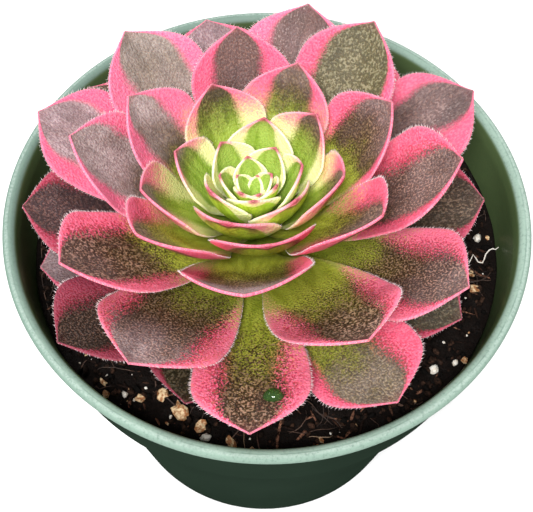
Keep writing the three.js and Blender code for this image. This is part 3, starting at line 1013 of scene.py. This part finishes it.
    def underside(rosy):
        """Green, with a maroon stripe inside the margin that goes round the tip."""
        lime = blend(young, (0.4, 0.44, 0.04), (0.54, 0.72, 0.07))
        deep = blend(young, (0.26, 0.28, 0.03), (0.36, 0.5, 0.03))
        back = between(rise(lines, 0.4, 0.65), lime, deep)
        from_tip = times(rest_of(along), leaf_length(number) / tip_margin)
        outer = calc("MINIMUM", ragged, plus(from_tip, drift))
        faded = rest_of(rise(outer, 0.9, 1.7))
        stripe = times(rise(outer, 0.55, 0.8), faded)
        stripe = times(stripe, rise(spread, pink_from, pink_full))
        back = between(times(stripe, 0.9), back, tone((0.17, 0.03, 0.04)))
        return between(rise(outer, 0.6, 0.8), rosy, back)

    rosy = margin()
    darkening = gradual(spread, dark_from - 0.1 + 0.05 * young, dark_full + 0.06)
    centre = between(broken(darkening, finest, 0.5), green(), flush())
    crossing = gradual(ragged, 0.75 - 0.35 * loose, 1.2 + 0.6 * loose)
    top = between(broken(crossing, finest, 0.6), rosy, centre)
    skin = between(rise(under, 0.3, 0.7), top, underside(rosy))
    rim_line = rest_of(rise(edge, 0.0, 0.4))
    pale_rim = blend(young, (0.6, 0.6, 0.2), (1, 1, 0.75))
    rim_tone = between(rise(spread, pink_from, pink_full), pale_rim, tone((0.95, 0.45, 0.54)))
    skin = between(times(rim_line, 0.12 + 0.3 * young), skin, rim_tone)
    point = times(rise(along, 0.94, 0.99), 0.1 + 0.7 * young)
    feed(shader, "Base Color", between(point, skin, tone((0.42, 0.07, 0.1))))
    feed(shader, "Roughness", gradual(fine, 0, 1, 0.55, 0.32))
    bumps(shader, scaled(lines, 1.6, fine), 0.1, 0.8)
    return material


hair = surface("leaf_hair", {
    "Base Color": (0.94, 0.7, 0.72, 1), "Subsurface Weight": 0.3, "Subsurface Scale": 0.2,
    "Subsurface Radius": (0.004, 0.003, 0.003),
})[0]


def leaf_object(name, numbers, skin):
    """One object of one or more leaves with their hairs."""
    parts = [leaf_body(number) for number in numbers]
    guides = list(parts[0][2])
    skin_faces = sum(len(part[1]) for part in parts)
    for number in numbers:
        cones, triangles = leaf_hairs(number)
        parts.append((cones, triangles, {guide: np.zeros(len(cones)) for guide in guides}))
    faces = []
    placed = 0
    for part in parts:
        faces += [tuple(index + placed for index in face) for face in part[1]]
        placed += len(part[0])
    made = mesh_object(name, np.concatenate([part[0] for part in parts]), faces)
    made.data.materials.append(skin)
    made.data.materials.append(hair)
    hair_faces = len(faces) - skin_faces
    made.data.polygons.foreach_set("material_index", [0] * skin_faces + [1] * hair_faces)
    for guide in guides:
        layer = made.data.attributes.new(guide, "FLOAT", "POINT")
        layer.data.foreach_set("value", np.concatenate([part[2][guide] for part in parts]))
    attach(made, "root")
    return made


for number in range(first_single_leaf, last_leaf + 1):
    skin = leaf_skin(f"leaf_skin_{number}", number)
    leaf = leaf_object(f"aeonium_leaf_{number}", [number], skin)
    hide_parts(f"leaf_{number}")

# Water drop
# A drop of water left from watering, which lies on the front leaf. It is a flat dome that bends the
# light, and what it shows of the leaf tints it green.
drop_leaf = 43
drop_along = 0.845
drop_across = 0.4
drop_half_length = 1.848
drop_half_width = 1.419
drop_height = 1.25
drop_sink = 0.25
drop_lift = 0.55


def on_leaf(number, along, across, off):
    return leaf_points(number, np.array([along]), np.array([across]), np.array([off]))[0]


drop_foot = on_leaf(drop_leaf, drop_along, drop_across, drop_lift)
drop_up = unit(on_leaf(drop_leaf, drop_along, drop_across, drop_lift + 1) - drop_foot)
drop_side = unit(np.cross(drop_up, (0, 1, 0)))
drop_ahead = np.cross(drop_up, drop_side)
ball, ball_faces = lump_shape(4)
long, wide, high = np.hsplit(ball, 3)
ripple = 1 + 0.05 * np.sin(3 * np.arctan2(wide, long))
outline = ripple * (drop_half_length * long * drop_side + drop_half_width * wide * drop_ahead)
dome = np.where(high > 0, high * drop_height, high * drop_sink)
drop = mesh_object("water_drop", drop_foot + outline + dome * drop_up, ball_faces.tolist())
drop.data.materials.append(surface("water", {
    "Base Color": (0.15, 0.36, 0.09, 1), "Roughness": 0.02, "IOR": 1.33, "Transmission Weight": 0.85,
})[0])
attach(drop, "root")

# Heart
# The ten youngest leaves, still folded over the growing point, lime green with cream margins and a
# maroon point. They are grown from the top of the stem and nest in each other.
heart = leaf_object("aeonium_heart", range(first_single_leaf), leaf_skin("heart_skin", 4))
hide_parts("heart")

# Floor
# A table top of matt white paper under the pot. It isn't part of the plant.
floor_half = 1500
floor_corners = [(x * floor_half, y * floor_half, 0) for x, y in ((-1, -1), (1, -1), (1, 1), (-1, 1))]
floor = mesh_object("floor", floor_corners, [(0, 1, 2, 3)])
paper = surface("white_paper", {"Base Color": (0.92, 0.92, 0.92, 1), "Roughness": 0.9})[0]
floor.data.materials.append(paper)

# Light
# Soft studio light: a white surround, a broad light high in front, a little to the left, and a weaker
# one from behind on the left.
surround_light = 0.42
light_aim = Vector((0, 0, 90))
world = bpy.data.worlds.new("studio")
bpy.context.scene.world = world
world.use_nodes = True
surround = world.node_tree.nodes["Background"]
surround.inputs["Color"].default_value = (1, 1, 1, 1)
surround.inputs["Strength"].default_value = surround_light


def window_light(name, place, width, watts):
    """A round soft lamp that points at the plant."""
    lamp = bpy.data.lights.new(name, "AREA")
    lamp.shape = "DISK"
    lamp.size = width * mm
    lamp.energy = watts
    made = in_scene(name, lamp)
    made.location = Vector(place) * mm
    made.rotation_euler = (light_aim - Vector(place)).to_track_quat("-Z", "Y").to_euler()


window_light("back", (-350, 450, 750), 350, 4.2)
window_light("front", (-100, -420, 780), 300, 8.8)

# Camera
# It looks down at the front of the pot as the photograph does, from about 0.2 m.
look_down = math.radians(56.98)
camera_distance = 205.3
nod = math.radians(-2.84)
roll = math.radians(-1.22)
sensor_width = 36
picture_pixels = 533
focal_pixels = 1000
nearest_seen = 10
rim_centre = Vector((0, 0, pot_height))
camera_place = rim_centre + Vector((0, -math.cos(look_down), math.sin(look_down))) * camera_distance
lens = bpy.data.cameras.new("camera")
lens.lens = sensor_width * focal_pixels / picture_pixels
lens.sensor_width = sensor_width
lens.clip_start = nearest_seen * mm
camera = in_scene("camera", lens)
pitch = Matrix.Rotation(math.pi / 2 - look_down + nod, 4, "X")
camera.matrix_world = Matrix.Translation(camera_place * mm) @ pitch @ Matrix.Rotation(-roll, 4, "Z")
bpy.context.scene.camera = camera
bpy.context.scene.view_settings.view_transform = "Standard"
